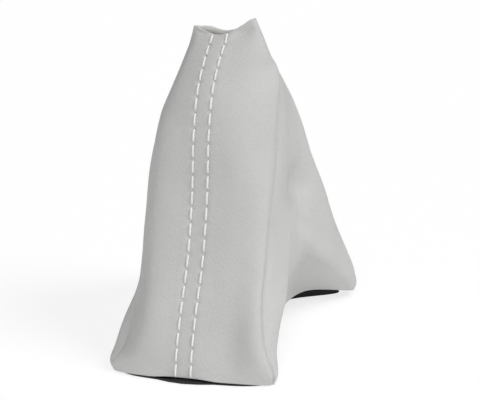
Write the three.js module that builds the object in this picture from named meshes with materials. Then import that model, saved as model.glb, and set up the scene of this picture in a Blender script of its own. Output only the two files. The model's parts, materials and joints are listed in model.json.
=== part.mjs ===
// A gear lever gaiter: a leather sleeve folded like a bag, two rows of running stitch down its
// front, and a thin black band under its lower edge. Millimetres, x across, y to the back, z up.
import * as THREE from 'three';

// Overall size, to which the fold lines and the band keep their proportions
const WIDTH = 92;
const DEPTH = 138;
const HEIGHT = 150;

// Leather
const LEATHER_THICKNESS = 1.2;
const LEATHER_COLOUR = 0xbdbab5;

// Lower edge of the leather, above the floor
const HEM_FRONT = 1.3;
const HEM_CORNER = 0.6;
const HEM_SIDE = 3.9;
const HEM_GUSSET = 7.5;
const HEM_BACK = 1.3;
const HEM_ARCH = 0.9;
const HEM_ARCH_REACH = 12;

// Rim of the slot at the top, highest at the right: how far below that the rest of it is
const RIM_FRONT_DROP = 6.7;
const RIM_BACK_DROP = 6.5;
const RIM_LEFT_DROP = 4;

// Stitching
const ROW_SPACING = 7.0;
const STITCHES_PER_ROW = 23;
const STITCH_SHARE = 0.72;
const THREAD_RADIUS = 0.55;
const THREAD_LINK_RADIUS = 0.28;
const THREAD_CLEARANCE = 0.35;
const THREAD_COLOUR = 0xece9e2;

// Base band
const BAND_WIDTH = 3.8;
const BAND_FOOT = 0.85;
const BAND_RISE = 2.2;
const BAND_FOOT_REACH = 1.7;
const BAND_CHAMFER = 0.25;
const LIP_REACH = 2.0;
const LIP_RISE = 0.75;
const LIP_HALF_WIDTH = 13;
const BAND_COLOUR = 0x0c0c0d;

// Shares of the size that the fold lines and the band are drawn at
const ACROSS = WIDTH / 92;
const DEEP = DEPTH / 138;
const UP = HEIGHT / 150;

// Mesh density: rows up the sleeve, and columns between one fold line and the next
const ROWS = 38;
const HALF_SPANS = [3, 4, 3, 3, 4, 4, 4, 3, 4, 3];

// A smooth curve through a few stations, each a height followed by the values there.
function profile(...stations) {
  const heights = stations.map((s) => s[0]);
  const last = stations.length - 1;
  const chord = (i, k) => (stations[i + 1][k] - stations[i][k]) / (heights[i + 1] - heights[i]);
  const slope = (i, k) => {
    if (i === 0) return chord(0, k);
    if (i === last) return chord(last - 1, k);
    const share = (heights[i] - heights[i - 1]) / (heights[i + 1] - heights[i - 1]);
    return chord(i - 1, k) * (1 - share) + chord(i, k) * share;
  };
  return (z) => {
    let i = 0;
    while (i < last - 1 && z > heights[i + 1]) i += 1;
    const step = heights[i + 1] - heights[i];
    const t = THREE.MathUtils.clamp((z - heights[i]) / step, 0, 1);
    const rise = t * t * (3 - 2 * t);
    return stations[i].slice(1).map((start, n) => {
      const k = n + 1;
      const leave = step * slope(i, k) * t * (1 - t) ** 2;
      const arrive = step * slope(i + 1, k) * t * t * (t - 1);
      return start + (stations[i + 1][k] - start) * rise + leave + arrive;
    });
  };
}

// Depth of the sleeve's front and back along the middle: height, y
const frontMiddle = profile([0, -50.5], [12, -48], [25, -42.8], [50, -29.5], [80, -20.5],
  [105, -16.5], [125, -8], [135, 2], [144, 15]);
const backMiddle = profile([0, 86], [12, 82], [25, 76], [50, 64], [80, 55], [105, 50], [125, 42],
  [133, 33.5], [138, 26.6], [141, 24.3], [145, 23.6]);

// Fold lines of the right side: height, x, y
const right = {
  frontRidge: profile([0, 37.7, -44.8], [4, 38.2, -45.8], [9, 36.2, -46], [16, 33.5, -45.4],
    [27, 31.4, -41.4], [37, 29.9, -35.2], [55, 28.9, -24], [75, 28.4, -17], [92, 27.4, -11],
    [114, 29.5, -1.5], [126, 29.5, 5], [131, 27.8, 8.6], [136, 22.8, 12.5], [142, 19.2, 15.2],
    [150, 13.7, 17]),
  valley: profile([0, 38.8, -43.9], [4, 39.7, -44.2], [9, 38.2, -42.4], [20, 34.7, -38.4],
    [30, 32.4, -33], [42, 31.4, -25.6], [57, 30.2, -16], [75, 30.6, -8], [92, 30.8, -1.5],
    [114, 29.9, 4], [126, 28.8, 8.6], [136, 22.6, 14.2], [142, 19.4, 16.3], [150, 14.8, 17.5]),
  secondRidge: profile([0, 39.6, -43.2], [4, 41, -43.2], [10, 39.2, -38], [20, 38, -30],
    [30, 38.2, -23], [42, 36.2, -11], [57, 33.8, 1], [75, 32.4, 5], [92, 32, 8.5],
    [114, 30.8, 11.8], [126, 27.8, 14.5], [136, 21.9, 17], [142, 19.2, 17.8], [150, 15.5, 18.5]),
  backRidge: profile([0, 44.8, 81.6], [4, 46.9, 82], [12, 47.2, 78.5], [26, 45.2, 71],
    [44, 42.4, 59], [67, 40, 45], [84, 35.4, 39.5], [98, 32, 36.5], [109, 29, 33.5],
    [121, 24.6, 29.5], [133, 19, 25.5], [142, 16.4, 22.8], [150, 13.9, 21.2]),
  flat: 0.62,
  bow: profile([0, 0.3], [20, 0.22], [50, 0.1], [75, 0.1], [95, 0.16], [112, 0.22], [126, 0.27],
    [151, 0.27]),
};

// Fold lines of the left side: height, x, y
const left = {
  frontRidge: profile([0, -32.4, -46.9], [4, -33.4, -47.6], [10, -30, -43.6], [22, -26.5, -38],
    [33, -27, -30.5], [43, -28, -23.5], [62, -29, -14], [82, -28.8, -6], [101, -27.2, 1],
    [110, -25.8, 5], [121, -22, 10], [135, -16.8, 14.6], [146, -12.4, 17]),
  valley: profile([0, -33.6, -46.2], [4, -34.9, -46.8], [10, -31.7, -41.4], [22, -29.5, -34],
    [33, -29.2, -26.5], [43, -29.8, -18], [62, -31, -6], [82, -30.8, 0], [101, -28.4, 6],
    [110, -26.4, 9], [121, -22.2, 12.4], [135, -17, 16], [146, -13.4, 17.5]),
  secondRidge: profile([0, -34.8, -44.6], [4, -37.2, -43.6], [10, -36.6, -37.6],
    [19, -34.7, -31.6], [31, -31.4, -22.6], [43, -31.2, -10], [57, -32, 3], [82, -32.5, 9],
    [101, -29.4, 13], [110, -27, 14.4], [121, -22.4, 16.2], [135, -17.2, 17.6],
    [146, -14.2, 18.4]),
  backRidge: profile([0, -40.4, 82.6], [4, -42.2, 83], [12, -42, 79], [26, -41, 71.5],
    [44, -39, 59], [67, -36.5, 46], [84, -32.5, 40.5], [98, -29.4, 37], [109, -26.6, 33.5],
    [121, -21.6, 29.5], [133, -17.2, 25.5], [146, -12.6, 21.2]),
  flat: 0.74,
  bow: profile([0, 0.12], [20, 0.1], [50, 0.11], [75, 0.13], [95, 0.18], [112, 0.22],
    [126, 0.27], [151, 0.27]),
};

// How far along the line from second ridge to back ridge the side's inner folds stand, and how
// deep they are pushed in: height, share along, depth
const nearSlope = profile([0, 0.36, 18], [15, 0.27, 12.5], [30, 0.18, 5.8], [40, 0.15, 1.4],
  [48, 0.13, 0.2], [57, 0.12, 0], [75, 0.22, 0.2], [95, 0.25, 0.6], [130, 0.25, 0],
  [151, 0.25, -0.35]);
const gusset = profile([0, 0.83, 18], [7, 0.79, 17.5], [15, 0.7, 15.5], [30, 0.5, 9],
  [40, 0.35, 2.8], [48, 0.27, 0.4], [57, 0.23, -0.2], [75, 0.42, 0.2], [95, 0.5, 0.8],
  [130, 0.5, 0], [151, 0.5, -0.5]);
const thirdRidge = profile([0, 0.945, -1], [10, 0.87, -2.6], [18, 0.8, -3.2], [26, 0.71, -3.8],
  [34, 0.61, -4], [42, 0.49, -3.8], [50, 0.38, -2.6], [57, 0.35, -1.2], [75, 0.62, 0.2],
  [95, 0.75, 0.5], [130, 0.75, 0], [151, 0.75, -0.4]);

// How far the back panel bows between its middle and its ridges, as a share
const backBow = () => [0.27];
const BACK_FLAT = 0.62;

function between(side, inner, fullness) {
  return (z) => {
    const [x0, y0] = side.secondRidge(z);
    const [x1, y1] = side.backRidge(z);
    const [share, depth] = inner(z);
    const inwards = depth * fullness * -Math.sign(x0) / Math.hypot(x1 - x0, y1 - y0);
    const x = x0 + (x1 - x0) * share + (y1 - y0) * inwards;
    const y = y0 + (y1 - y0) * share - (x1 - x0) * inwards;
    return [x, y];
  };
}

function quarter(middle, ridge, across, bow) {
  return (z) => {
    const [x, y] = ridge(z);
    const [centre] = middle(z);
    return [x * across, centre + (y - centre) * bow(z)[0]];
  };
}

const RIM_FRONT = HEIGHT - RIM_FRONT_DROP;
const RIM_BACK = HEIGHT - RIM_BACK_DROP;

// The fold lines in order around one side, each with its height at the hem and at the rim
function sideLines(side, rim, fullness, backShare) {
  const quarterRim = RIM_FRONT + (rim - RIM_FRONT) * 0.6;
  const backQuarterRim = RIM_BACK + (rim - RIM_BACK) * backShare;
  return [
    [quarter(frontMiddle, side.frontRidge, side.flat, side.bow), HEM_FRONT, quarterRim],
    [side.frontRidge, HEM_CORNER, rim],
    [side.valley, HEM_CORNER, rim],
    [side.secondRidge, HEM_CORNER, rim],
    [between(side, nearSlope, fullness), HEM_GUSSET * 1.2, rim],
    [between(side, gusset, fullness), HEM_GUSSET, rim],
    [between(side, thirdRidge, fullness), HEM_SIDE, rim],
    [side.backRidge, HEM_CORNER, rim - 0.3],
    [quarter(backMiddle, side.backRidge, BACK_FLAT, backBow), HEM_BACK, backQuarterRim],
  ];
}

const FOLDS = [
  [(z) => [0, frontMiddle(z)[0]], HEM_FRONT, RIM_FRONT],
  ...sideLines(right, HEIGHT, 1, 0.4),
  [(z) => [0, backMiddle(z)[0]], HEM_BACK, RIM_BACK],
  ...sideLines(left, HEIGHT - RIM_LEFT_DROP, 0.85, 0.75).reverse(),
];

// Where each column stands round the sleeve, counted in fold lines from the middle of the front
const COLUMNS = [];
[...HALF_SPANS, ...[...HALF_SPANS].reverse()].forEach((count, fold) => {
  for (let i = 0; i < count; i += 1) COLUMNS.push(fold + i / count);
});

// Rows stand closer together near the hem and the rim.
function rise(v) {
  return v - 0.6 * Math.sin(2 * Math.PI * v) / (2 * Math.PI);
}

// The closed curve round the sleeve at one level, 0 at the hem and 1 at the rim.
function levelCurve(v) {
  const points = FOLDS.map(([line, hem, rim]) => {
    const z = hem + (rim - hem) * rise(v);
    const [x, y] = line(z / UP);
    return new THREE.Vector3(x * ACROSS, y * DEEP, z);
  });
  return new THREE.CatmullRomCurve3(points, true, 'centripetal');
}

// The hem lifts a little in the middle of the front.
function liftHem(point, v) {
  if (point.y > 0) return point;
  const reach = Math.abs(point.x) / HEM_ARCH_REACH;
  point.z += HEM_ARCH * Math.exp(-(reach ** 4)) * (1 - v) ** 10;
  return point;
}

// Hollows pressed into the soft right side: y, height, half width, half height, depth
const HOLLOWS = [[22, 72, 13, 11, 5.2], [34, 55, 9, 5.5, 2.4]];
const PRESSED_FOLDS = { first: 2.5, last: 8.05 };

function hollowDepth(point, fold) {
  const { first, last } = PRESSED_FOLDS;
  const within = THREE.MathUtils.clamp(Math.min(fold - first, last - fold), 0, 1);
  const depths = HOLLOWS.map(([y, z, halfWidth, halfHeight, depth]) => {
    const aside = (point.y / DEEP - y) / halfWidth;
    const above = (point.z / UP - z) / halfHeight;
    return depth * Math.exp(-(aside ** 2) - above ** 2);
  });
  return within * ACROSS * depths.reduce((sum, depth) => sum + depth, 0);
}

function pressHollows(rings) {
  const directions = outwards(rings);
  rings.forEach((ring, row) => ring.forEach((point, column) => {
    point.addScaledVector(directions[row][column], -hollowDepth(point, COLUMNS[column]));
  }));
}

function outerRing(v) {
  const curve = levelCurve(v);
  return COLUMNS.map((fold) => liftHem(curve.getPoint(fold / FOLDS.length), v));
}

// Outward direction at each point of a grid of rings that run anticlockwise.
function outwards(rings) {
  return rings.map((ring, row) => ring.map((point, i) => {
    const n = ring.length;
    const round = new THREE.Vector3().subVectors(ring[(i + 1) % n], ring[(i + n - 1) % n]);
    const above = rings[Math.min(row + 1, rings.length - 1)][i];
    const below = rings[Math.max(row - 1, 0)][i];
    const up = new THREE.Vector3().subVectors(above, below);
    return round.cross(up).normalize();
  }));
}

// Neighbouring directions are blended, so that the inner face stays clear of itself in the folds.
function blended(directions) {
  return directions.map((ring) => ring.map((direction, i) => {
    const n = ring.length;
    return direction.clone().multiplyScalar(2)
      .add(ring[(i + 1) % n])
      .add(ring[(i + n - 1) % n])
      .normalize();
  }));
}

// A closed skin over rings of equal length. The last ring joins the first, or flat ends close it.
function skin(rings, ends) {
  const n = rings[0].length;
  const positions = rings.flat().flatMap((p) => [p.x, p.y, p.z]);
  const indices = [];
  const bands = ends ? rings.length - 1 : rings.length;
  for (let row = 0; row < bands; row += 1) {
    const next = (row + 1) % rings.length;
    for (let i = 0; i < n; i += 1) {
      const j = (i + 1) % n;
      const [a, b, c, d] = [row * n + i, row * n + j, next * n + j, next * n + i];
      indices.push(a, b, c, a, c, d);
    }
  }
  if (ends) {
    const top = (rings.length - 1) * n;
    for (let i = 1; i < n - 1; i += 1) {
      indices.push(0, i + 1, i, top, top + i, top + i + 1);
    }
  }
  const geometry = new THREE.BufferGeometry();
  geometry.setAttribute('position', new THREE.Float32BufferAttribute(positions, 3));
  geometry.setIndex(indices);
  geometry.computeVertexNormals();
  return geometry;
}

function material(color, roughness, metalness = 0) {
  return new THREE.MeshStandardMaterial({ color, roughness, metalness });
}

function named(name, geometry, look) {
  const mesh = new THREE.Mesh(geometry, look);
  mesh.name = name;
  return mesh;
}

function leatherGaiter() {
  const outer = [];
  for (let row = 0; row <= ROWS; row += 1) outer.push(outerRing(row / ROWS));
  pressHollows(outer);
  let normals = outwards(outer);
  for (let pass = 0; pass < 4; pass += 1) normals = blended(normals);
  normals[0].forEach((direction) => direction.setZ(0).normalize());
  for (const row of [ROWS - 1, ROWS]) {
    for (let pass = 0; pass < 4; pass += 1) normals[row] = blended([normals[row]])[0];
  }
  const inner = outer.map((ring, row) => ring.map((point, i) => (
    point.clone().addScaledVector(normals[row][i], -LEATHER_THICKNESS))));
  const geometry = skin([...outer, ...inner.reverse()], false);
  return named('leather_gaiter', geometry, material(LEATHER_COLOUR, 0.55));
}

// The point on the front of the sleeve at one level and one distance from the middle.
function onFront(x, v) {
  const curve = levelCurve(v);
  const folds = FOLDS.length;
  let [low, high] = x > 0 ? [0, 1.5 / folds] : [1 - 1.5 / folds, 1];
  for (let i = 0; i < 24; i += 1) {
    const middle = (low + high) / 2;
    if (curve.getPoint(middle).x > x) high = middle;
    else low = middle;
  }
  return liftHem(curve.getPoint((low + high) / 2), v);
}

function frontNormal(x, v) {
  const step = 0.01;
  const across = onFront(x + 0.8, v).sub(onFront(x - 0.8, v));
  const up = onFront(x, Math.min(v + step, 1)).sub(onFront(x, Math.max(v - step, 0)));
  return across.cross(up).normalize();
}

// One row of running stitch: full thread along each stitch, thinner thread from one to the next.
function stitchRow(name, x) {
  const samples = 400;
  const track = [];
  for (let i = 0; i <= samples; i += 1) {
    const v = 0.006 + 0.985 * i / samples;
    track.push({ v, point: onFront(x, v), run: 0 });
  }
  for (let i = 1; i < track.length; i += 1) {
    track[i].run = track[i - 1].run + track[i].point.distanceTo(track[i - 1].point);
  }
  const length = track[samples].run;
  const levelAt = (run) => {
    const i = Math.max(1, track.findIndex((t) => t.run >= run));
    const share = (run - track[i - 1].run) / (track[i].run - track[i - 1].run);
    return THREE.MathUtils.lerp(track[i - 1].v, track[i].v, share);
  };
  const pitch = length / (STITCHES_PER_ROW - 1 + STITCH_SHARE);
  const stations = [[0, 0.6], [0.08, 1], [0.36, 1.06], [0.64, 1], [0.72, 0.6], [0.86, 0]];
  const rings = [];
  for (let stitch = 0; stitch < STITCHES_PER_ROW; stitch += 1) {
    for (const [share, fullness] of stations) {
      if (stitch === STITCHES_PER_ROW - 1 && share > STITCH_SHARE) continue;
      const run = Math.min((stitch + share / 0.72 * STITCH_SHARE) * pitch, length - 0.001);
      const v = levelAt(run);
      const radius = THREE.MathUtils.lerp(THREAD_LINK_RADIUS, THREAD_RADIUS, fullness);
      const out = frontNormal(x, v);
      const ahead = onFront(x, Math.min(v + 0.01, 1)).sub(onFront(x, v - 0.01)).normalize();
      const aside = new THREE.Vector3().crossVectors(ahead, out).normalize();
      const centre = onFront(x, v).addScaledVector(out, THREAD_CLEARANCE + radius);
      const ring = [];
      for (let corner = 0; corner < 5; corner += 1) {
        const angle = Math.PI * 2 * (corner + 0.25) / 5;
        ring.push(centre.clone()
          .addScaledVector(aside, -Math.cos(angle) * radius)
          .addScaledVector(out, Math.sin(angle) * radius));
      }
      rings.push(ring);
    }
  }
  return named(name, skin(rings, true), material(THREAD_COLOUR, 0.6));
}

// The band follows the folded hem from inside, with corners rounder than the leather's. Its foot
// reaches out under the leather's edge: x, y, height of the foot as a share of BAND_FOOT.
const BAND_FRONT = [0, -50.2, 1];
const BAND_BACK = [0, 84, 0.95];
const BAND_RIGHT = [[20, -48.9, 1], [30, -46.8, 0.95], [35.8, -43.2, 0.58], [33.4, -27, 0.95],
  [28, -11, 1.4], [20, 14, 2.25], [15.2, 29, 2.8], [12.8, 43, 3.4], [14.4, 54.8, 3.5],
  [20.6, 62.8, 3.5], [30.2, 69.2, 3.5], [37.4, 73.8, 3.3], [40.4, 77.4, 1.2], [37, 81.4, 0.8],
  [20, 83.4, 0.95]];
const BAND_LEFT = [[-18, -49.8, 1], [-27, -48, 0.83], [-32, -44, 0.7], [-29.6, -27.4, 0.95],
  [-24.6, -11.6, 1.4], [-18, 14, 2.25], [-14.6, 28, 2.8], [-12.4, 41, 3.4], [-13.6, 52.6, 3.5],
  [-19, 61, 3.5], [-28, 67.8, 3.5], [-33.6, 72.4, 3.3], [-36.6, 77.4, 1.2], [-33, 82, 0.8],
  [-18, 83.6, 0.95]];

function baseBand() {
  const points = [BAND_FRONT, ...BAND_RIGHT, BAND_BACK, ...[...BAND_LEFT].reverse()]
    .map(([x, y, foot]) => new THREE.Vector3(x * ACROSS, y * DEEP, foot * BAND_FOOT));
  const outline = new THREE.CatmullRomCurve3(points, true, 'centripetal');
  const count = points.length * 3;
  const rings = [];
  for (let i = 0; i < count; i += 1) {
    const at = outline.getPoint(i / count);
    const along = outline.getTangent(i / count).setZ(0).normalize();
    const offset = (reach, z) => new THREE.Vector3(at.x + along.y * reach, at.y - along.x * reach, z);
    const lip = at.y < 0 ? Math.cos(Math.min(Math.abs(at.x) / LIP_HALF_WIDTH, 1) * Math.PI / 2) : 0;
    const reach = LIP_REACH * lip;
    const foot = at.z + LIP_RISE * lip;
    rings.push([
      offset(-BAND_WIDTH, at.z + BAND_RISE),
      offset(-BAND_FOOT_REACH, at.z + BAND_RISE),
      offset(-BAND_FOOT_REACH, foot),
      offset(reach, foot - BAND_CHAMFER / 2),
      offset(reach, BAND_CHAMFER),
      offset(reach - BAND_CHAMFER, 0),
      offset(-BAND_WIDTH, 0),
    ]);
  }
  return named('base_band', skin(rings, false), material(BAND_COLOUR, 0.5));
}

const gaiter = new THREE.Group();
gaiter.name = 'gear_lever_gaiter';
gaiter.add(leatherGaiter());
gaiter.add(stitchRow('left_stitch_row', -ROW_SPACING / 2));
gaiter.add(stitchRow('right_stitch_row', ROW_SPACING / 2));
gaiter.add(baseBand());

// The origin is the middle of the footprint, at floor level.
const middle = new THREE.Box3().setFromObject(gaiter).getCenter(new THREE.Vector3());
gaiter.position.set(-middle.x, -middle.y, 0);

export default gaiter;
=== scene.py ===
# A gear lever gaiter: a light grey leather sleeve folded like a bag, two rows of running stitch
# down its front, and a thin black band under its lower edge.
# Metres, x across the stitched front, y to the back, z up.
import json
import math

import bpy
import numpy as np
from mathutils import Matrix, Vector, noise

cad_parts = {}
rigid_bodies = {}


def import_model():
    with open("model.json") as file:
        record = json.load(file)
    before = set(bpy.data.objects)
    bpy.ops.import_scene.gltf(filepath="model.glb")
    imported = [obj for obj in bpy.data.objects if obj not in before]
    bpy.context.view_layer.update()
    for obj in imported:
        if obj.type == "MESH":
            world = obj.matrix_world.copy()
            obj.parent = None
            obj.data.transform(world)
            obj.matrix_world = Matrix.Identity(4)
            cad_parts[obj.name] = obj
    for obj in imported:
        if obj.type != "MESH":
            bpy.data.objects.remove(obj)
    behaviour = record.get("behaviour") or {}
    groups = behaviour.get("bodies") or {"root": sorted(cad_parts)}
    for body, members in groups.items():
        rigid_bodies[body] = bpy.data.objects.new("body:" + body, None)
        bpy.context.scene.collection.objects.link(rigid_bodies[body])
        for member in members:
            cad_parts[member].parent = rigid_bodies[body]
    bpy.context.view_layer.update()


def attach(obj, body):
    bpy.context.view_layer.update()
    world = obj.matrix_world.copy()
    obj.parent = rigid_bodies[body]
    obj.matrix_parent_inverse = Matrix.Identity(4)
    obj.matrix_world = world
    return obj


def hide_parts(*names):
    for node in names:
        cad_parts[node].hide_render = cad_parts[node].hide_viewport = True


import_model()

# Leather sleeve
# One wrap of light grey upholstery leather, folded in at both sides like a paper bag. It is cut
# flat, joined along the hidden back with a plain closed seam, and left raw at its slot and hem.

# Millimetres here, x from the middle of the stitched front; the mesh is made in metres at the end.
MILLIMETRE = 0.001
FOOTPRINT_MIDDLE = (2.63, 16.687)
THICKNESS = 1.2
HEM_FRONT = 1.3
HEM_CORNER = 0.6
HEM_SIDE = 3.9
HEM_GUSSET = 7.5
HEM_NEAR_SLOPE = 9.0
HEM_BACK = 1.3
HEM_ARCH = 0.9
HEM_ARCH_REACH = 12.0
RIM_FRONT = 143.3
RIM_BACK = 143.5
RIM_RIGHT = 150.0
RIM_LEFT = 146.0
FRONT_RIM_RISE = 0.6
RIM_CORNER_DROP = 0.3
BACK_FLAT = 0.62
CROWDING = 0.6
ROW_X = 3.5
STITCHES = 23
STITCH_SHARE = 0.72
FIRST_LEVEL = 0.006
LAST_LEVEL = 0.991
ROWS = 280
INSIDE_EVERY = 5


def profile(*stations):
    """A smooth curve through a few stations, each a height followed by the values there."""
    table = np.array(stations, float)
    heights, values = table[:, 0], table[:, 1:]
    steps = np.diff(heights)
    chords = np.diff(values, axis=0) / steps[:, None]
    shares = (steps[:-1] / (heights[2:] - heights[:-2]))[:, None]
    inner = chords[:-1] * (1 - shares) + chords[1:] * shares
    slopes = np.vstack([chords[:1], inner, chords[-1:]])

    def at(z):
        i = np.clip(np.searchsorted(heights, z) - 1, 0, len(steps) - 1)
        step = steps[i][:, None]
        t = np.clip((z - heights[i]) / steps[i], 0, 1)[:, None]
        rise = t * t * (3 - 2 * t)
        leave = step * slopes[i] * t * (1 - t) ** 2
        arrive = step * slopes[i + 1] * t * t * (t - 1)
        return values[i] + (values[i + 1] - values[i]) * rise + leave + arrive

    return at


# Depth of the sleeve's front and back along the middle: height, y
front_middle = profile((0, -50.5), (12, -48), (25, -42.8), (50, -29.5), (80, -20.5),
                       (105, -16.5), (125, -8), (135, 2), (144, 15))
back_middle = profile((0, 86), (12, 82), (25, 76), (50, 64), (80, 55), (105, 50),
                      (125, 42), (133, 33.5), (138, 26.6), (141, 24.3), (145, 23.6))

# Fold lines of both sides: height, x, y. Then the share of the way to its ridge at which the front
# panel starts to turn, and how far it has bowed by there: height, share.
right = {
    "front_ridge": profile(
        (0, 37.7, -44.8), (4, 38.2, -45.8), (9, 36.2, -46), (16, 33.5, -45.4),
        (27, 31.4, -41.4), (37, 29.9, -35.2), (55, 28.9, -24), (75, 28.4, -17),
        (92, 27.4, -11), (114, 29.5, -1.5), (126, 29.5, 5), (131, 27.8, 8.6),
        (136, 22.8, 12.5), (142, 19.2, 15.2), (150, 13.7, 17)),
    "valley": profile(
        (0, 38.8, -43.9), (4, 39.7, -44.2), (9, 38.2, -42.4), (20, 34.7, -38.4),
        (30, 32.4, -33), (42, 31.4, -25.6), (57, 30.2, -16), (75, 30.6, -8),
        (92, 30.8, -1.5), (114, 29.9, 4), (126, 28.8, 8.6), (136, 22.6, 14.2),
        (142, 19.4, 16.3), (150, 14.8, 17.5)),
    "second_ridge": profile(
        (0, 39.6, -43.2), (4, 41, -43.2), (10, 39.2, -38), (20, 38, -30), (30, 38.2, -23),
        (42, 36.2, -11), (57, 33.8, 1), (75, 32.4, 5), (92, 32, 8.5), (114, 30.8, 11.8),
        (126, 27.8, 14.5), (136, 21.9, 17), (142, 19.2, 17.8), (150, 15.5, 18.5)),
    "back_ridge": profile(
        (0, 44.8, 81.6), (4, 46.9, 82), (12, 47.2, 78.5), (26, 45.2, 71), (44, 42.4, 59),
        (67, 40, 45), (84, 35.4, 39.5), (98, 32, 36.5), (109, 29, 33.5), (121, 24.6, 29.5),
        (133, 19, 25.5), (142, 16.4, 22.8), (150, 13.9, 21.2)),
    "flat": 0.62,
    "bow": profile(
        (0, 0.3), (20, 0.22), (50, 0.1), (75, 0.1), (95, 0.16), (112, 0.22), (126, 0.27),
        (151, 0.27)),
}
left = {
    "front_ridge": profile(
        (0, -32.4, -46.9), (4, -33.4, -47.6), (10, -30, -43.6), (22, -26.5, -38),
        (33, -27, -30.5), (43, -28, -23.5), (62, -29, -14), (82, -28.8, -6),
        (101, -27.2, 1), (110, -25.8, 5), (121, -22, 10), (135, -16.8, 14.6),
        (146, -12.4, 17)),
    "valley": profile(
        (0, -33.6, -46.2), (4, -34.9, -46.8), (10, -31.7, -41.4), (22, -29.5, -34),
        (33, -29.2, -26.5), (43, -29.8, -18), (62, -31, -6), (82, -30.8, 0),
        (101, -28.4, 6), (110, -26.4, 9), (121, -22.2, 12.4), (135, -17, 16),
        (146, -13.4, 17.5)),
    "second_ridge": profile(
        (0, -34.8, -44.6), (4, -37.2, -43.6), (10, -36.6, -37.6), (19, -34.7, -31.6),
        (31, -31.4, -22.6), (43, -31.2, -10), (57, -32, 3), (82, -32.5, 9),
        (101, -29.4, 13), (110, -27, 14.4), (121, -22.4, 16.2), (135, -17.2, 17.6),
        (146, -14.2, 18.4)),
    "back_ridge": profile(
        (0, -40.4, 82.6), (4, -42.2, 83), (12, -42, 79), (26, -41, 71.5), (44, -39, 59),
        (67, -36.5, 46), (84, -32.5, 40.5), (98, -29.4, 37), (109, -26.6, 33.5),
        (121, -21.6, 29.5), (133, -17.2, 25.5), (146, -12.6, 21.2)),
    "flat": 0.74,
    "bow": profile(
        (0, 0.1), (20, 0.05), (50, 0.04), (75, 0.05), (95, 0.1), (112, 0.22), (126, 0.27),
        (151, 0.27)),
}

# How far along the line from second ridge to back ridge the side's inner folds stand, and how
# deep they are pushed in: height, share along, depth
near_slope = profile((0, 0.36, 18), (15, 0.27, 12.5), (30, 0.18, 5.8), (40, 0.15, 1.4),
                     (48, 0.13, 0.2), (57, 0.12, 0), (75, 0.22, 0.2), (95, 0.25, 0.6),
                     (130, 0.25, 0), (151, 0.25, -0.35))
gusset = profile((0, 0.83, 18), (7, 0.79, 17.5), (15, 0.7, 15.5), (30, 0.5, 9), (40, 0.35, 2.8),
                 (48, 0.27, 0.4), (57, 0.23, -0.2), (75, 0.42, 0.2), (95, 0.5, 0.8),
                 (130, 0.5, 0), (151, 0.5, -0.5))
third_ridge = profile((0, 0.945, -1), (10, 0.87, -2.6), (18, 0.8, -3.2), (26, 0.71, -3.8),
                      (34, 0.61, -4), (42, 0.49, -3.8), (50, 0.38, -2.6), (57, 0.35, -1.2),
                      (75, 0.62, 0.2), (95, 0.75, 0.5), (130, 0.75, 0), (151, 0.75, -0.4))
# How far the back panel bows between its middle and its ridges, as a share
back_bow = profile((0, 0.27), (151, 0.27))


def inner_fold(side, fold, fullness):
    """A fold line between a side's second ridge and its back ridge, pushed inwards."""
    def at(z):
        start, end = side["second_ridge"](z), side["back_ridge"](z)
        share, depth = fold(z).T
        along = end - start
        inwards = depth * fullness * -np.sign(start[:, 0]) / np.hypot(*along.T)
        aside = np.stack([along[:, 1], -along[:, 0]], axis=1)
        return start + along * share[:, None] + aside * inwards[:, None]

    return at


def quarter_line(middle, ridge, across, bow):
    """A line on the front or back panel, between its middle and its ridge."""
    def at(z):
        x, y = ridge(z).T
        centre = middle(z)[:, 0]
        return np.stack([x * across, centre + (y - centre) * bow(z)[:, 0]], axis=1)

    return at


def side_lines(side, rim, fullness, back_rim_rise):
    """The fold lines in order round one side, each with its height at the hem and the rim."""
    front_quarter = quarter_line(front_middle, side["front_ridge"], side["flat"], side["bow"])
    back_quarter = quarter_line(back_middle, side["back_ridge"], BACK_FLAT, back_bow)
    return [
        (front_quarter, HEM_FRONT, RIM_FRONT + (rim - RIM_FRONT) * FRONT_RIM_RISE),
        (side["front_ridge"], HEM_CORNER, rim),
        (side["valley"], HEM_CORNER, rim),
        (side["second_ridge"], HEM_CORNER, rim),
        (inner_fold(side, near_slope, fullness), HEM_NEAR_SLOPE, rim),
        (inner_fold(side, gusset, fullness), HEM_GUSSET, rim),
        (inner_fold(side, third_ridge, fullness), HEM_SIDE, rim),
        (side["back_ridge"], HEM_CORNER, rim - RIM_CORNER_DROP),
        (back_quarter, HEM_BACK, RIM_BACK + (rim - RIM_BACK) * back_rim_rise),
    ]


def middle_line(middle):
    """The line down the middle of the front or the back."""
    return lambda z: np.stack([np.zeros(len(z)), middle(z)[:, 0]], axis=1)


FOLDS = [
    (middle_line(front_middle), HEM_FRONT, RIM_FRONT),
    *side_lines(right, RIM_RIGHT, fullness=1, back_rim_rise=0.4),
    (middle_line(back_middle), HEM_BACK, RIM_BACK),
    *side_lines(left, RIM_LEFT, fullness=0.85, back_rim_rise=0.75)[::-1],
]


def eased(levels):
    """Levels moved closer together towards the hem and the rim."""
    return levels - CROWDING * np.sin(2 * np.pi * levels) / (2 * np.pi)


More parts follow.
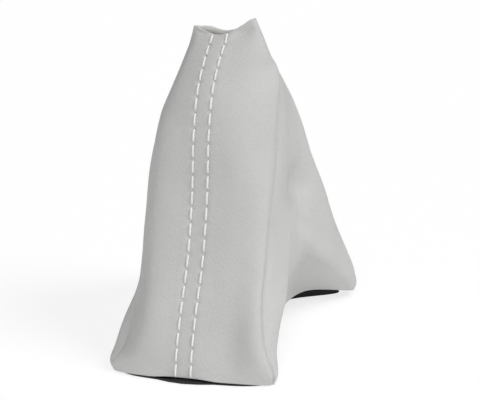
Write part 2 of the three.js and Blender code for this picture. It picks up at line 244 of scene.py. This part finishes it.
def sleeve(levels, columns):
    """Points of the sleeve: levels from 0 at the hem to 1 at the rim, columns counted in folds."""
    rise = eased(levels)
    lines = []
    for line, hem, rim in FOLDS:
        z = hem + (rim - hem) * rise
        lines.append(np.column_stack([line(z), z]))
    lines = np.stack(lines, axis=1)
    first = np.floor(columns).astype(int)
    t = (columns - first)[None, :, None]
    p0, p1, p2, p3 = (lines[:, (first + k) % len(FOLDS)] for k in (-1, 0, 1, 2))
    d0, d1, d2 = (np.sqrt(np.linalg.norm(b - a, axis=2, keepdims=True))
                  for a, b in ((p0, p1), (p1, p2), (p2, p3)))
    leave = ((p1 - p0) / d0 - (p2 - p0) / (d0 + d1) + (p2 - p1) / d1) * d1
    arrive = ((p2 - p1) / d1 - (p3 - p1) / (d1 + d2) + (p3 - p2) / d2) * d1
    grid = (p1 + leave * t + (3 * (p2 - p1) - 2 * leave - arrive) * t ** 2
            + (2 * (p1 - p2) + leave + arrive) * t ** 3)
    arch = HEM_ARCH * np.exp(-(np.abs(grid[..., 0]) / HEM_ARCH_REACH) ** 4)
    grid[..., 2] += np.where(grid[..., 1] > 0, 0, arch * (1 - levels[:, None]) ** 10)
    return grid


def outwards(grid):
    """The direction out of the sleeve at each point of a grid that is closed round."""
    across = np.roll(grid, -1, axis=1) - np.roll(grid, 1, axis=1)
    up = np.gradient(grid, axis=0)
    found = np.cross(across, up)
    return found / np.linalg.norm(found, axis=2, keepdims=True)


# Columns run from the back seam round the left side to the front, and on round the right side.
# They stand closest together at the stitching and the seam: a span in folds, how many columns.
HALF_SPANS = ((0.45, 17), (0.55, 8), (1, 12), (1, 12), (1, 12), (1, 11), (1, 10), (1, 10),
              (1, 9), (1, 9), (0.85, 7), (0.15, 5))
STRIP_COLUMNS = 16
half_columns = [0.0]
for span, count in HALF_SPANS:
    half_columns += [half_columns[-1] + span / count * (i + 1) for i in range(count)]
columns = np.array([-c for c in half_columns[:0:-1]] + half_columns[:-1])
table = np.linspace(0, 1, 2001)
levels = np.interp(np.linspace(0, 1, ROWS + 1), eased(table), table)
plain = sleeve(levels, columns)
front = int(np.argmin(np.abs(columns)))
stitched = slice(front - STRIP_COLUMNS, front + STRIP_COLUMNS + 1)

# Distance round from the middle of the front, and up from the first stitch along its row
steps_round = np.linalg.norm(np.diff(plain, axis=1), axis=2)
gone_round = np.hstack([np.zeros((ROWS + 1, 1)), np.cumsum(steps_round, axis=1)])
round_mm = gone_round - gone_round[:, front:front + 1]


def on_row(x):
    """Points of the front at one distance from the middle, one for each level."""
    return np.array([[x, *(np.interp(x, ring[stitched, 0], ring[stitched, k]) for k in (1, 2))]
                     for ring in plain])


track = on_row(ROW_X)
up_mm = np.concatenate([[0], np.cumsum(np.linalg.norm(np.diff(track, axis=0), axis=1))])
up_mm = up_mm - np.interp(FIRST_LEVEL, levels, up_mm)
row_length = np.interp(LAST_LEVEL, levels, up_mm)
pitch = row_length / (STITCHES - 1 + STITCH_SHARE)


def swell(off, wide):
    """1 where a distance is 0, falling smoothly to nothing at a few widths away."""
    return np.exp(-(off / wide) ** 2)


# Soft forms on the plain folds: the stitched strip, its puckers, the back seam, slack and creases
STRIP_PUFF = 0.16
SHOULDER = 0.10
SHOULDER_AT = 5.9
ROW_GROOVE = 0.20
HOLE_DENT = 0.30
GATHER = 0.07
SEAM_GROOVE = 0.75
SEAM_ROLL = 0.4
SEAM_ROLL_AT = 2.6
grid_size = plain.shape[:2]
off_middle = np.abs(round_mm)
off_row = np.abs(off_middle - ROW_X)
phase = np.mod(np.broadcast_to(up_mm[:, None], grid_size) / pitch, 1.0)
to_hole = np.minimum(np.minimum(phase, 1 - phase), np.abs(phase - STITCH_SHARE)) * pitch
puff = np.where(off_middle < ROW_X, STRIP_PUFF * (1 - (round_mm / ROW_X) ** 2), 0)
puff += SHOULDER * swell(off_middle - SHOULDER_AT, 1.7)
groove = -ROW_GROOVE * swell(off_row, 0.75)
hole = -HOLE_DENT * swell(off_row, 0.6) * swell(to_hole, 0.65)
gather = GATHER * np.cos(2 * np.pi * (phase - STITCH_SHARE / 2)) * swell(off_row, 2.2)
from_seam = np.minimum(gone_round, gone_round[:, -1:] + steps_round[:, :1] - gone_round)
seam = SEAM_ROLL * swell(from_seam - SEAM_ROLL_AT, 1.6) - SEAM_GROOVE * swell(from_seam, 0.7)


def slack(points, size, seed):
    """Smooth noise over the points, with bumps of about that size in millimetres."""
    flat = points.reshape(-1, 3) / size + seed
    return np.array([noise.noise(Vector(p)) for p in flat]).reshape(points.shape[:2])


# Which way runs across a panel, and the folds that it fades out at
PANELS = {"front": (0, -3, 3), "right": (1, 2.5, 8.05), "left": (1, -8.05, -2.5)}
# Dents and swellings pressed into the soft leather: panel, place across it (x on the front, y on
# a side), height, how wide, how tall, how deep
DENTS = (
    ("right", 23, 72, 12, 11, -6.4),
    ("right", 34, 55, 9, 5.5, -2.4),
    ("right", 6, 58, 10, 6, 1),
    ("right", 24, 50, 10, 6, 1.2),
    ("right", 41, 39, 11, 6, 1.2),
    ("front", 20, 13, 9, 11, -1.9),
    ("front", 31, 22, 7, 15, 0.8),
    ("front", -16, 22, 8, 14, 0.6),
)
pressed = np.zeros(grid_size)
for panel, place, height, wide, tall, deep in DENTS:
    axis, first_fold, last_fold = PANELS[panel]
    within = np.clip(np.minimum(columns - first_fold, last_fold - columns), 0, 1)
    across = swell(plain[..., axis] - place, wide)
    pressed += within * deep * across * swell(plain[..., 2] - height, tall)

# The pressed folds beside the ridges: fold position, how wide in folds, how deep, and the heights
# between which each is sharp
CREASES = (
    (3.0, 0.2, -1.0, -4, 118),
    (2.35, 0.35, 0.5, -4, 118),
    (-3.0, 0.2, -0.5, 4, 60),
)
CREASE_END = 12
for fold, wide, deep, low, high in CREASES:
    heights = plain[..., 2]
    sharp = (np.clip((heights - low) / CREASE_END, 0, 1)
             * np.clip((high - heights) / CREASE_END, 0, 1))
    pressed += deep * sharp * swell(columns[None, :] - fold, wide)

# The stitched strip is stiff, so it keeps little of the slack, and the raw edges keep little of
# any of these forms.
STRIP_CALM = 0.85
EDGE_KEEP = 0.35
EDGE_LEVELS = 0.012
loose = 0.55 * slack(plain, 30, 7.3) + 0.22 * slack(plain, 13, 3.1)
calm = 1 - STRIP_CALM * swell(round_mm, 7)
form = loose * calm + pressed
to_edge = np.clip(np.minimum(levels, 1 - levels) / EDGE_LEVELS, 0, 1)[:, None]
keep = EDGE_KEEP + (1 - EDGE_KEEP) * to_edge
lift = (puff + groove + hole + gather + seam + form) * keep
normals = outwards(plain)
outer = plain + normals * lift[..., None]

# The flesh side lies one thickness in, along directions that are evened out round the sleeve so
# that it doesn't cross itself inside the tight folds.
EVENING_PASSES = 36
soft = outwards(plain)
for _ in range(EVENING_PASSES):
    soft = 2 * soft + np.roll(soft, 1, axis=1) + np.roll(soft, -1, axis=1)
    soft /= np.linalg.norm(soft, axis=2, keepdims=True)
soft[0, :, 2] = 0
soft[0] /= np.linalg.norm(soft[0], axis=1, keepdims=True)
lining = plain + normals * (form * keep)[..., None]
inner = (lining - soft * THICKNESS)[::INSIDE_EVERY]

# The raw edges are rounded: three loops of points between the outer and the inner skin.
EDGE_SHARES = (0.2, 0.5, 0.8)
HEM_ROUNDING = 0.25
RIM_ROUNDING = 0.3
LOWEST = 0.25


def raw_edge(start, end, rounding):
    """The loops across one raw edge, from one skin to the other."""
    loops = []
    for share in EDGE_SHARES:
        loop = start + (end - start) * share
        loop[:, 2] += rounding * math.sin(math.pi * share)
        loops.append(loop)
    return loops


rim_loops = raw_edge(outer[-1], inner[-1], RIM_ROUNDING)
hem_loops = raw_edge(inner[0], outer[0], -HEM_ROUNDING)
rings = [*outer, *rim_loops, *inner[::-1], *hem_loops]
ring_count, column_count = len(rings), len(columns)
points = np.concatenate(rings)
points[:, :2] -= FOOTPRINT_MIDDLE
points[:, 2] = np.maximum(points[:, 2], LOWEST)
edge_loops = len(EDGE_SHARES)
ring_up = np.concatenate([up_mm, [up_mm[-1]] * edge_loops, up_mm[::-INSIDE_EVERY],
                          [up_mm[0]] * edge_loops])
ring_round = np.concatenate([round_mm, [round_mm[-1]] * edge_loops, round_mm[::-INSIDE_EVERY],
                             [round_mm[0]] * edge_loops])
ring_round = np.hstack([ring_round, -ring_round[:, :1]])
OUTSIDE, CUT_EDGE, FLESH = 0, 1, 2
edge_bands = edge_loops + 1
faces, face_uv, face_side = [], [], []
for i in range(ring_count):
    up = (i + 1) % ring_count
    if i < ROWS:
        side = OUTSIDE
    elif i < ROWS + edge_bands or i >= ring_count - edge_bands:
        side = CUT_EDGE
    else:
        side = FLESH
    for j in range(column_count):
        k = (j + 1) % column_count
        faces.append((i * column_count + j, i * column_count + k,
                      up * column_count + k, up * column_count + j))
        face_uv += [(ring_round[i, j], ring_up[i]), (ring_round[i, j + 1], ring_up[i]),
                    (ring_round[up, j + 1], ring_up[up]), (ring_round[up, j], ring_up[up])]
        face_side.append(side)
sleeve_mesh = bpy.data.meshes.new("leather_sleeve")
sleeve_mesh.from_pydata((points * MILLIMETRE).tolist(), [], faces)
sleeve_mesh.uv_layers.new(name="leather_mm")
sleeve_mesh.uv_layers["leather_mm"].data.foreach_set("uv", np.array(face_uv, np.float32).ravel())
sleeve_mesh.polygons.foreach_set("material_index", face_side)
sleeve_mesh.polygons.foreach_set("use_smooth", [True] * len(faces))
sleeve_mesh.validate()
sleeve_mesh.update()
leather = bpy.data.objects.new("leather_sleeve", sleeve_mesh)
bpy.context.scene.collection.objects.link(leather)


class Wire:
    """A shader socket that sums and products can be written with."""

    def __init__(self, finish, socket):
        self.finish = finish
        self.socket = socket

    def math(self, operation, *values):
        sockets = dict(enumerate(values))
        return self.finish.node("ShaderNodeMath", {"operation": operation}, sockets)

    def __add__(self, other):
        return self.math("ADD", self, other)

    def __sub__(self, other):
        return self.math("SUBTRACT", self, other)

    def __rsub__(self, other):
        return self.math("SUBTRACT", other, self)

    def __mul__(self, other):
        return self.math("MULTIPLY", self, other)

    def __truediv__(self, other):
        return self.math("DIVIDE", self, other)

    def __pow__(self, other):
        return self.math("POWER", self, other)

    __radd__ = __add__

    def bell(self, width):
        """1 where the value is 0, falling smoothly to nothing at a few widths away."""
        return self.math("POWER", math.e, (self / width) ** 2 * -1)

    def fraction(self):
        return self.math("FRACT", self)

    def magnitude(self):
        return self.math("ABSOLUTE", self)

    def least(self, other):
        return self.math("MINIMUM", self, other)

    def most(self, other):
        return self.math("MAXIMUM", self, other)

    def part(self, axis):
        """One coordinate of a vector."""
        return self.finish.node("ShaderNodeSeparateXYZ", {}, {0: self}, axis)


class Finish:
    """A material being made, with its main shader."""

    def __init__(self, name, **numbers):
        self.material = bpy.data.materials.new(name)
        self.material.use_nodes = True
        self.tree = self.material.node_tree
        self.tree.nodes.clear()
        self.output = self.tree.nodes.new("ShaderNodeOutputMaterial")
        self.shader = self.tree.nodes.new("ShaderNodeBsdfPrincipled")
        self.tree.links.new(self.shader.outputs[0], self.output.inputs[0])
        for socket, number in numbers.items():
            self.shader.inputs[socket.replace("_", " ")].default_value = number

    def node(self, kind, settings, sockets, output=0):
        made = self.tree.nodes.new(kind)
        for name, value in settings.items():
            setattr(made, name, value)
        for name, value in sockets.items():
            self.feed(made.inputs[name], value)
        return Wire(self, made.outputs[output])

    def feed(self, socket, value):
        if isinstance(value, Wire):
            self.tree.links.new(value.socket, socket)
        else:
            socket.default_value = value

    def set(self, name, value):
        self.feed(self.shader.inputs[name], value)

    def place(self, **sockets):
        """Object coordinates, moved, turned or scaled."""
        found = self.node("ShaderNodeTexCoord", {}, {}, "Object")
        return self.node("ShaderNodeMapping", {}, {"Vector": found, **sockets})

    def noise(self, vector, scale, detail, roughness=0.5):
        return self.node("ShaderNodeTexNoise", {}, {
            "Vector": vector, "Scale": scale, "Detail": detail, "Roughness": roughness})

    def cells(self, vector, scale, feature):
        return self.node("ShaderNodeTexVoronoi", {"feature": feature},
                         {"Vector": vector, "Scale": scale}, "Distance")

    def mixed(self, factor, first, second):
        """A colour between two others."""
        return self.node("ShaderNodeMix", {"data_type": "RGBA"},
                         {0: factor, 6: first, 7: second}, 2)

    def bump(self, height, distance, strength, normal=None):
        sockets = {"Height": height, "Distance": distance, "Strength": strength}
        if normal is not None:
            sockets["Normal"] = normal
        return self.node("ShaderNodeBump", {}, sockets)


# Outside: a fine pebbled grain with pores, short slanting wrinkles, and needle holes darkened with
# painted shade. Then the pale cut edge and the napped flesh side, whose pale grey is partly
# painted light.
LEATHER_GREY = (0.548, 0.546, 0.540, 1)
LEATHER_PALE = (0.588, 0.586, 0.580, 1)
LEATHER_PORE = (0.430, 0.427, 0.420, 1)
PAINTED_HOLE_SHADE = (0.060, 0.056, 0.052, 1)
EDGE_GREYS = ((0.62, 0.61, 0.585, 1), (0.72, 0.71, 0.685, 1))
FLESH_GREYS_AND_PAINTED_LIGHT = ((0.74, 0.73, 0.71, 1), (0.84, 0.83, 0.81, 1))
GRAIN_DEPTH = 0.00006
WRINKLE_DEPTH = 0.00028
FIBRE_DEPTH = 0.0001
NAP_DEPTH = 0.00015

outside = Finish("grey_leather", IOR=1.45, Specular_IOR_Level=0.38)
place = outside.place()
marked = outside.node("ShaderNodeUVMap", {"uv_map": "leather_mm"}, {})
round_from_front = marked.part(0)
up_from_stitch = marked.part(1)
cloudy = outside.noise(place, 45, 3)
pores = outside.cells(place, 1250, "DISTANCE_TO_EDGE")
pebbles = outside.cells(place, 900, "SMOOTH_F1")
fine = outside.noise(place, 2600, 2)
slanted = outside.place(Rotation=(0, -0.5, 0))
drawn_out = outside.node("ShaderNodeMapping", {}, {"Vector": slanted, "Scale": (0.35, 0.5, 1)})
wrinkled = outside.noise(drawn_out, 1300, 3, 0.6)
base = outside.mixed(cloudy, LEATHER_GREY, LEATHER_PALE)
pore_mask = (1 - pores * 9).most(0) * 0.35
base = outside.mixed(pore_mask, base, LEATHER_PORE)
beside = (round_from_front.magnitude() - ROW_X).magnitude()
turn = (up_from_stitch / pitch).fraction()
to_needle = turn.least(1 - turn).least((turn - STITCH_SHARE).magnitude()) * pitch
# Painted shade: the needle holes are coloured near black for the shade that falls into them.
needle = beside.bell(0.34) * to_needle.bell(0.42)
base = outside.mixed(needle, base, PAINTED_HOLE_SHADE)
outside.set("Base Color", base)
outside.set("Roughness", 0.50 + cloudy * 0.10 + pore_mask * 0.2)
grain = outside.bump(pebbles * -0.6 + pores.least(0.08) * 4 + fine * 0.25, GRAIN_DEPTH, 0.9)
outside.set("Normal", outside.bump(wrinkled, WRINKLE_DEPTH, 0.8, grain))
sleeve_mesh.materials.append(outside.material)

edge = Finish("cut_leather_edge", Roughness=0.8, IOR=1.45, Specular_IOR_Level=0.25)
fibres = edge.noise(edge.place(), 2200, 3, 0.7)
edge.set("Base Color", edge.mixed(fibres, *EDGE_GREYS))
edge.set("Normal", edge.bump(fibres, FIBRE_DEPTH, 0.6))
sleeve_mesh.materials.append(edge.material)

# The flesh side's own pale grey, partly painted light: made lighter so that the shaded inside of
# the slot shows light grey.
inside = Finish("leather_flesh_side", Roughness=0.9, IOR=1.4, Specular_IOR_Level=0.2)
nap = inside.noise(inside.place(), 1500, 4, 0.7)
inside.set("Base Color", inside.mixed(nap, *FLESH_GREYS_AND_PAINTED_LIGHT))
inside.set("Normal", inside.bump(nap, NAP_DEPTH, 0.7))
sleeve_mesh.materials.append(inside.material)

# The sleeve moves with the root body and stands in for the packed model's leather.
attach(leather, "root")
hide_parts("leather_gaiter")

# Stitching
# Two rows of thick off-white thread, laid up from three plies. Each row is one thread in a
# running stitch: over the leather for most of each pitch, and through needle holes to its back.
THREAD_RADIUS = 0.50
PLY_DENT = 0.80
THREAD_CORNERS = 12
RING_STEP = 0.42
RING_TURN = math.radians(24)
RINGS_A_PIECE = 15
OVER = 0.20
UNDER = -2.0
POINTS_OF_A_STITCH = 13
PLIES = 3
WELD_DISTANCE = 0.00002
HAIR_DEPTH = 0.00008
THREAD_WHITES = ((0.80, 0.785, 0.75, 1), (0.93, 0.92, 0.89, 1))


def deselect_all():
    for thing in bpy.context.scene.objects:
        thing.select_set(False)


def thread_path(x):
    """Points of one row's thread, in and out of the leather, in millimetres."""
    found = on_row(x)
    rows_out = np.array([[np.interp(x, ring[stitched, 0], way[stitched, k]) for k in range(3)]
                         for ring, way in zip(plain, normals)])
    lengths = np.concatenate([[0], np.cumsum(np.linalg.norm(np.diff(found, axis=0), axis=1))])
    lengths = lengths - np.interp(FIRST_LEVEL, levels, lengths)
    scale = np.interp(LAST_LEVEL, levels, lengths) / row_length
    long = STITCH_SHARE * pitch
    # One stitch, then the way back under the leather: up from the stitch's start, height off it
    shape = [(0.0, UNDER + 0.45), (0.0, -0.9), (0.02, -0.35), (0.22, 0.02), (0.6, OVER + 0.02),
             (1.2, OVER + 0.12), (long / 2, OVER + 0.2), (long - 1.2, OVER + 0.12),
             (long - 0.6, OVER + 0.02), (long - 0.22, 0.02), (long - 0.02, -0.35),
             (long, -0.9), (long, UNDER + 0.45), (long + 0.3, UNDER + 0.05),
             ((long + pitch) / 2, UNDER), (pitch - 0.3, UNDER + 0.05)]
    path = []
    for stitch in range(STITCHES):
        for at, height in shape if stitch < STITCHES - 1 else shape[:POINTS_OF_A_STITCH]:
            place_up = (stitch * pitch + at) * scale
            centre = np.array([np.interp(place_up, lengths, found[:, k]) for k in range(3)])
            out = np.array([np.interp(place_up, lengths, rows_out[:, k]) for k in range(3)])
            path.append(centre + out / np.linalg.norm(out) * height)
    return np.array(path)


def smoothed(path, per_step):
    """The same path with points added on a smooth curve between its own."""
    before = np.vstack([path[:1] * 2 - path[1:2], path[:-1]])
    after = np.vstack([path[1:], path[-1:] * 2 - path[-2:-1]])
    slopes = (after - before) / 2
    found = []
    for i in range(len(path) - 1):
        for t in np.arange(per_step) / per_step:
            rise = t * t * (3 - 2 * t)
            found.append(path[i] + (path[i + 1] - path[i]) * rise
                         + slopes[i] * t * (1 - t) ** 2 + slopes[i + 1] * t * t * (t - 1))
    return np.array(found + [path[-1]])


def straight_thread(name, length):
    """A straight thread of three plies along z, one piece repeated by an array."""
    piece_length = RINGS_A_PIECE * RING_STEP
    pieces = math.ceil(length / piece_length)
    corners_a_ply = THREAD_CORNERS // PLIES
    deselect_all()
    bpy.ops.mesh.primitive_circle_add(vertices=THREAD_CORNERS, radius=THREAD_RADIUS * MILLIMETRE,
                                      fill_type="NOTHING", location=(0, 0, 0))
    thread = bpy.context.object
    thread.name = thread.data.name = name
    for number, vertex in enumerate(thread.data.vertices):
        vertex.select = number % corners_a_ply == corners_a_ply // 2
    for edge_line in thread.data.edges:
        edge_line.select = False
    bpy.ops.object.mode_set(mode="EDIT")
    bpy.ops.mesh.select_mode(type="VERT")
    bpy.ops.transform.resize(value=(PLY_DENT, PLY_DENT, 1), center_override=(0, 0, 0))
    bpy.ops.mesh.select_all(action="SELECT")
    for _ in range(RINGS_A_PIECE):
        bpy.ops.mesh.extrude_region_move(
            TRANSFORM_OT_translate={"value": (0, 0, RING_STEP * MILLIMETRE)})
        bpy.ops.transform.rotate(value=RING_TURN, orient_axis="Z", center_override=(0, 0, 0))
    bpy.ops.object.mode_set(mode="OBJECT")
    repeat = thread.modifiers.new("repeat", "ARRAY")
    repeat.use_relative_offset = False
    repeat.use_constant_offset = True
    repeat.constant_offset_displace = (0, 0, piece_length * MILLIMETRE)
    repeat.count = pieces
    repeat.use_merge_vertices = True
    repeat.merge_threshold = WELD_DISTANCE
    bpy.ops.object.modifier_apply(modifier="repeat")
    stretch = length / (pieces * piece_length)
    thread.data.transform(Matrix.Diagonal((1, 1, stretch, 1)))
    bpy.ops.object.mode_set(mode="EDIT")
    bpy.ops.mesh.select_all(action="DESELECT")
    bpy.ops.mesh.select_non_manifold()
    bpy.ops.mesh.fill_holes(sides=0)
    bpy.ops.mesh.select_all(action="SELECT")
    bpy.ops.mesh.normals_make_consistent(inside=False)
    bpy.ops.object.mode_set(mode="OBJECT")
    return thread


def sewn_row(name, x, node):
    """One row of stitching: a straight thread drawn along its path by a curve modifier."""
    path = smoothed(thread_path(x), 4)
    path[:, :2] -= FOOTPRINT_MIDDLE
    length = np.linalg.norm(np.diff(path, axis=0), axis=1).sum()
    thread = straight_thread(name, length)
    guide_line = bpy.data.curves.new("guide", "CURVE")
    guide_line.dimensions = "3D"
    guide_line.twist_mode = "MINIMUM"
    line = guide_line.splines.new("POLY")
    line.points.add(len(path) - 1)
    for point, found in zip(line.points, path * MILLIMETRE):
        point.co = (*found, 1)
    guide = bpy.data.objects.new("guide", guide_line)
    bpy.context.scene.collection.objects.link(guide)
    follow = thread.modifiers.new("follow", "CURVE")
    follow.object = guide
    follow.deform_axis = "POS_Z"
    deselect_all()
    thread.select_set(True)
    bpy.context.view_layer.objects.active = thread
    bpy.ops.object.modifier_apply(modifier="follow")
    bpy.data.objects.remove(guide)
    bpy.data.curves.remove(guide_line)
    bpy.ops.object.shade_smooth()
    thread.data.materials.append(thread_finish.material)
    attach(thread, "root")
    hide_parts(node)
    return thread


thread_finish = Finish("off_white_thread", Roughness=0.62, IOR=1.45, Specular_IOR_Level=0.3,
                       Sheen_Weight=0.15, Sheen_Roughness=0.5)
hairs = thread_finish.noise(thread_finish.place(), 5200, 3, 0.65)
tint = thread_finish.noise(thread_finish.place(), 260, 2)
thread_finish.set("Base Color", thread_finish.mixed(hairs * 0.6 + tint * 0.4, *THREAD_WHITES))
thread_finish.set("Normal", thread_finish.bump(hairs, HAIR_DEPTH, 0.6))
left_row = sewn_row("left_stitching", -ROW_X, "left_stitch_row")
right_row = sewn_row("right_stitching", ROW_X, "right_stitch_row")

# Base band
# A thin band of black moulded plastic, which the leather's hem stands on. Its shape is the packed
# model's own, and only its material is made here.
SPARK_DEPTH = 0.00008
PLASTIC_BLACKS = ((0.010, 0.010, 0.011, 1), (0.018, 0.018, 0.019, 1))
band = bpy.data.objects["base_band"]
plastic = Finish("black_plastic", IOR=1.47, Specular_IOR_Level=0.35)
spark = plastic.noise(plastic.place(), 1800, 2)
worn = plastic.noise(plastic.place(), 120, 3)
plastic.set("Base Color", plastic.mixed(worn, *PLASTIC_BLACKS))
plastic.set("Roughness", 0.42 + worn * 0.12)
plastic.set("Normal", plastic.bump(spark, SPARK_DEPTH, 0.5))
band.data.materials.clear()
band.data.materials.append(plastic.material)

# Floor and light
# A white floor, a white world, and two large soft lamps: one to the right, and a weaker one high
# before the front. The camera sees the floor as a lit grey that glows up to plain white around its
# soft shadow, and the object is lit by a plain white one.
FLOOR_SIZE = 8.0
FLOOR_DROP = 0.0002
SKY = 0.22
LAMPS = {"right_lamp": ((0.7, -0.1, 0.7), 1.45), "front_lamp": ((0.1, -0.6, 0.8), 1.12)}
LAMP_ANGLE = math.radians(28)
FLOOR_WHITE = (0.82, 0.82, 0.82, 1)
FLOOR_BOUNCE = 0.28
FLOOR_SEEN = (0.27, 0.27, 0.27, 1)
FLOOR_GLOW = 0.77
PLAIN_WHITE = (1, 1, 1, 1)

deselect_all()
bpy.ops.mesh.primitive_plane_add(size=FLOOR_SIZE, location=(0, 0, 0))
floor = bpy.context.object
floor.name = "floor"
floor.data.transform(Matrix.Translation((0, 0, -FLOOR_DROP)))
white = Finish("white_floor", Roughness=0.9, Specular_IOR_Level=0.0)
white.set("Base Color", FLOOR_SEEN)
matt = white.node("ShaderNodeBsdfDiffuse", {}, {"Color": FLOOR_WHITE})
bounce = white.node("ShaderNodeEmission", {}, {"Color": PLAIN_WHITE, "Strength": FLOOR_BOUNCE})
pale = white.node("ShaderNodeAddShader", {}, {0: matt, 1: bounce})
glow = white.node("ShaderNodeEmission", {}, {"Color": PLAIN_WHITE, "Strength": FLOOR_GLOW})
lit = white.node("ShaderNodeAddShader", {}, {0: Wire(white, white.shader.outputs[0]), 1: glow})
looked_at = white.node("ShaderNodeLightPath", {}, {}, "Is Camera Ray")
white.feed(white.output.inputs[0],
           white.node("ShaderNodeMixShader", {}, {0: looked_at, 1: pale, 2: lit}))
floor.data.materials.append(white.material)

world = bpy.data.worlds.new("white_world")
bpy.context.scene.world = world
world.use_nodes = True
sky = world.node_tree
sky.nodes.clear()
ray = sky.nodes.new("ShaderNodeLightPath")
dim = sky.nodes.new("ShaderNodeBackground")
dim.inputs["Strength"].default_value = SKY
bright = sky.nodes.new("ShaderNodeBackground")
bright.inputs["Strength"].default_value = 1.0
for background in (dim, bright):
    background.inputs["Color"].default_value = PLAIN_WHITE
choose = sky.nodes.new("ShaderNodeMixShader")
shown = sky.nodes.new("ShaderNodeOutputWorld")
sky.links.new(ray.outputs["Is Camera Ray"], choose.inputs[0])
sky.links.new(dim.outputs[0], choose.inputs[1])
sky.links.new(bright.outputs[0], choose.inputs[2])
sky.links.new(choose.outputs[0], shown.inputs[0])

for name, (source, strength) in LAMPS.items():
    lamp_data = bpy.data.lights.new(name, "SUN")
    lamp_data.energy = strength
    lamp_data.angle = LAMP_ANGLE
    lamp = bpy.data.objects.new(name, lamp_data)
    lamp.rotation_mode = "QUATERNION"
    lamp.rotation_quaternion = Vector(source).to_track_quat("Z", "Y")
    bpy.context.scene.collection.objects.link(lamp)

# Camera
# It stands a little to the right of the front and looks slightly down on the gaiter.
CAMERA_TURN = math.radians(17.254)
CAMERA_HEIGHT = math.radians(16.641)
CAMERA_ROLL = math.radians(-1.056)
CAMERA_DISTANCE = 0.650
CAMERA_TARGET = Vector((0.01093, -0.02129, 0.07148))
LENS = 107.8
SENSOR_WIDTH = 36

back = Vector((math.sin(CAMERA_TURN) * math.cos(CAMERA_HEIGHT),
               -math.cos(CAMERA_TURN) * math.cos(CAMERA_HEIGHT), math.sin(CAMERA_HEIGHT)))
level = Vector((math.cos(CAMERA_TURN), math.sin(CAMERA_TURN), 0))
upright = back.cross(level)
rightwards = level * math.cos(CAMERA_ROLL) + upright * math.sin(CAMERA_ROLL)
upwards = upright * math.cos(CAMERA_ROLL) - level * math.sin(CAMERA_ROLL)
camera_data = bpy.data.cameras.new("camera")
camera_data.lens = LENS
camera_data.sensor_fit = "HORIZONTAL"
camera_data.sensor_width = SENSOR_WIDTH
camera = bpy.data.objects.new("camera", camera_data)
camera.matrix_world = Matrix.Translation(CAMERA_TARGET + back * CAMERA_DISTANCE) @ Matrix(
    (rightwards, upwards, back)).transposed().to_4x4()
bpy.context.scene.collection.objects.link(camera)
bpy.context.scene.camera = camera
bpy.context.scene.view_settings.view_transform = "Standard"
